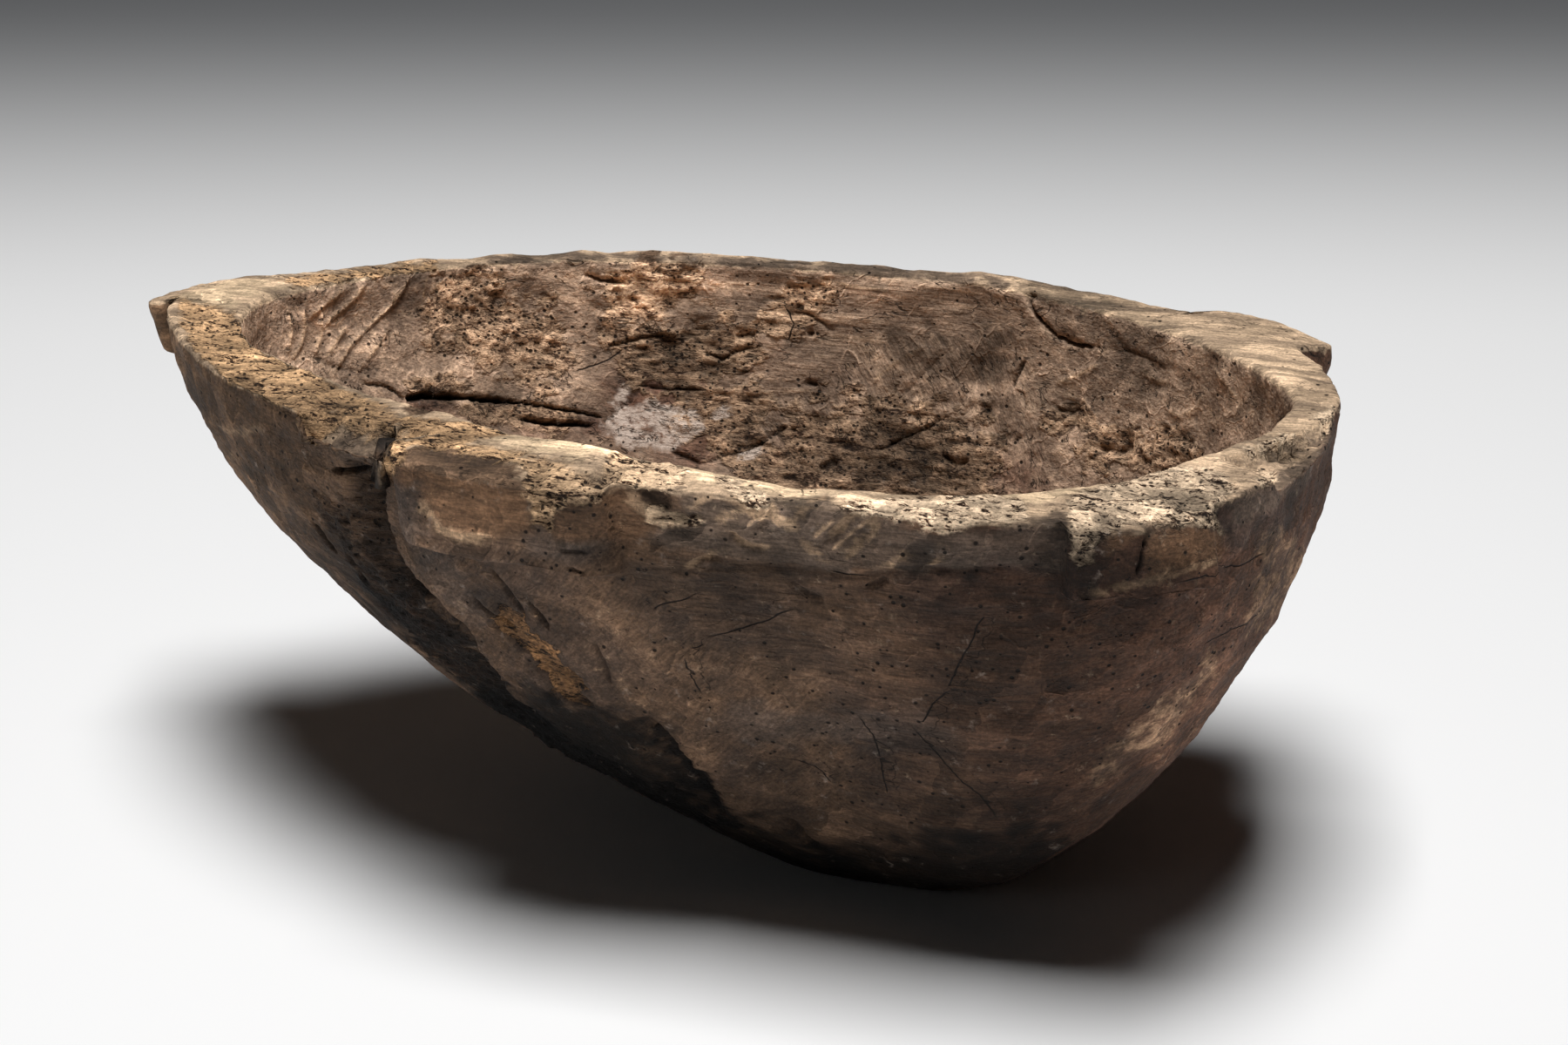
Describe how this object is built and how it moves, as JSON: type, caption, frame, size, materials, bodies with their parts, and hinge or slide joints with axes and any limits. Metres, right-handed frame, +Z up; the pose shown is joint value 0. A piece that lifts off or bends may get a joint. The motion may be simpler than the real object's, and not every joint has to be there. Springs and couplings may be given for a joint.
{
  "type": "dug-out wooden bowl",
  "caption": "Large old bowl hewn from one block of wood: pointed at one end, round and deep at the other, with carved lugs on the rim, an open split and worn edges.",
  "frame": {"origin": "On the floor, under the middle of the bowl's bounding box", "axes": "+X from the pointed end to the round end, +Y to the back, +Z up through the mouth"},
  "size_m": [0.9266, 0.5392, 0.374],
  "materials": {
    "old_wood": "Dry unfinished old wood: tool marks and beetle holes all over, torn pale grain on the rim, dark weathered outer wall, brown hollow with a chalky patch"
  },
  "bodies": {
    "root": {"bowl": "old_wood"}
  },
  "joints": []
}
